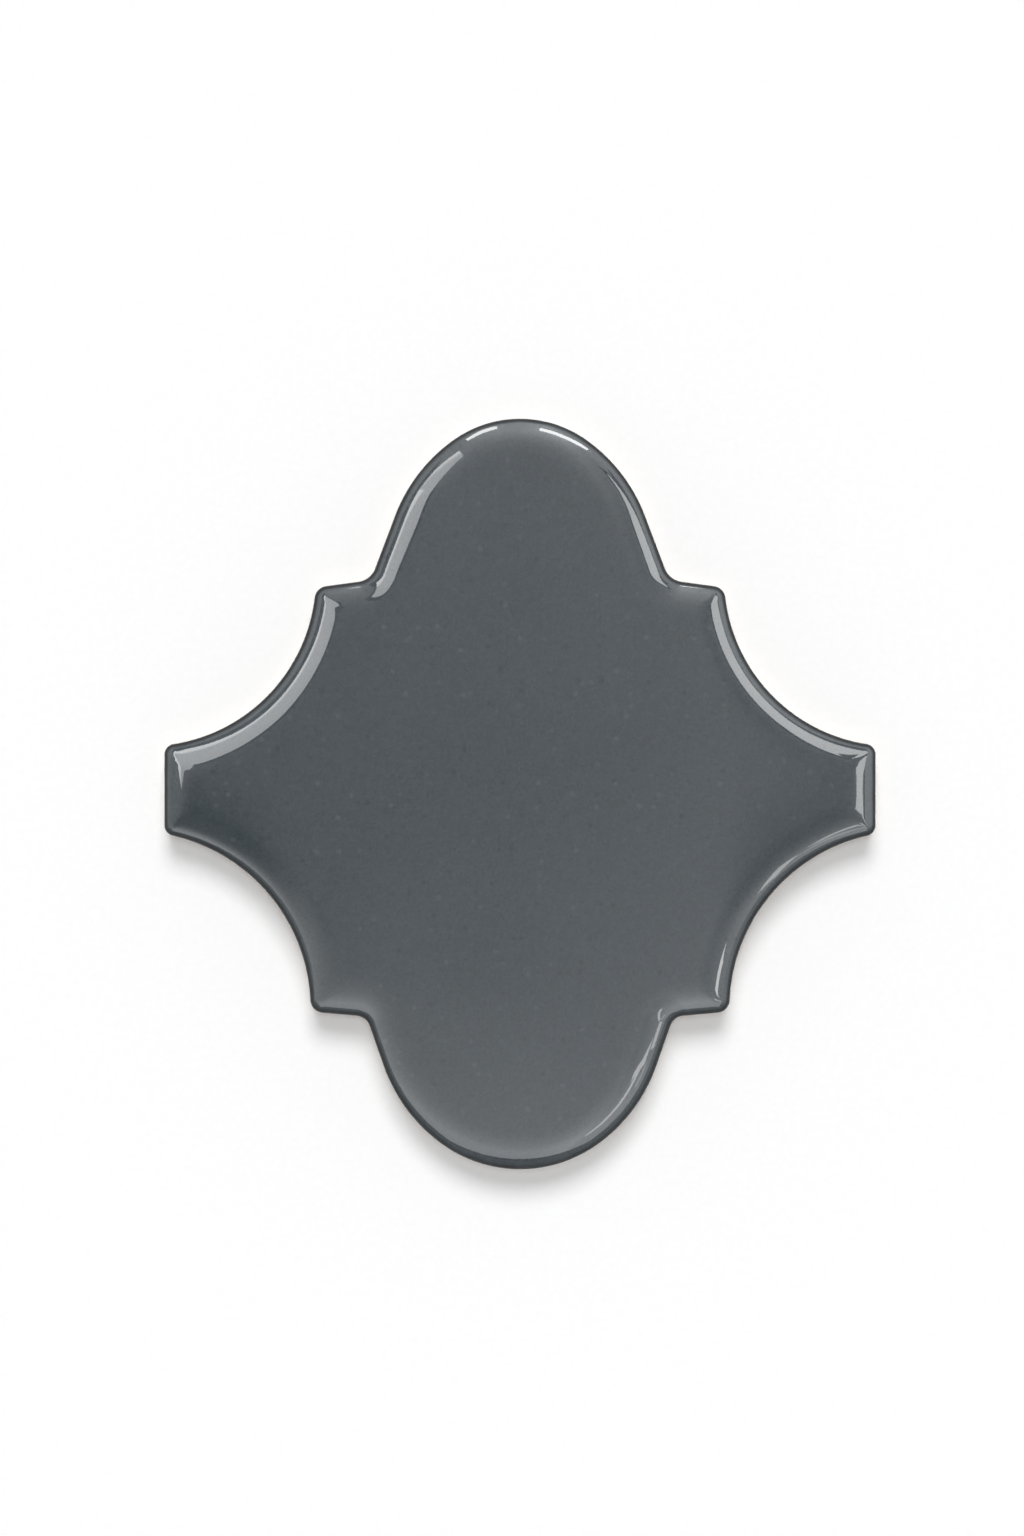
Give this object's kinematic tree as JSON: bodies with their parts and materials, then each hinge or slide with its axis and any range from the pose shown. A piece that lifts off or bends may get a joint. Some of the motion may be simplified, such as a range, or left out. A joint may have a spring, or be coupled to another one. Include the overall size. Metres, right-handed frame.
{
  "type": "arabesque wall tile",
  "caption": "Lantern-shaped glazed ceramic wall tile with rounded lobes, scooped corners that nest the lobes of neighbouring tiles, a softly rounded rim and a keyed back.",
  "frame": {"origin": "middle of the outline's box, on the back face that the tile lies on", "axes": "+Z out of the glazed face, +Y through the lobe with the shallower notches beside it, +X through a flat end"},
  "size_m": [0.1138, 0.12, 0.0083],
  "materials": {
    "glaze": "gloss"
  },
  "bodies": {
    "root": {"arabesque_tile": "glaze"}
  },
  "joints": []
}
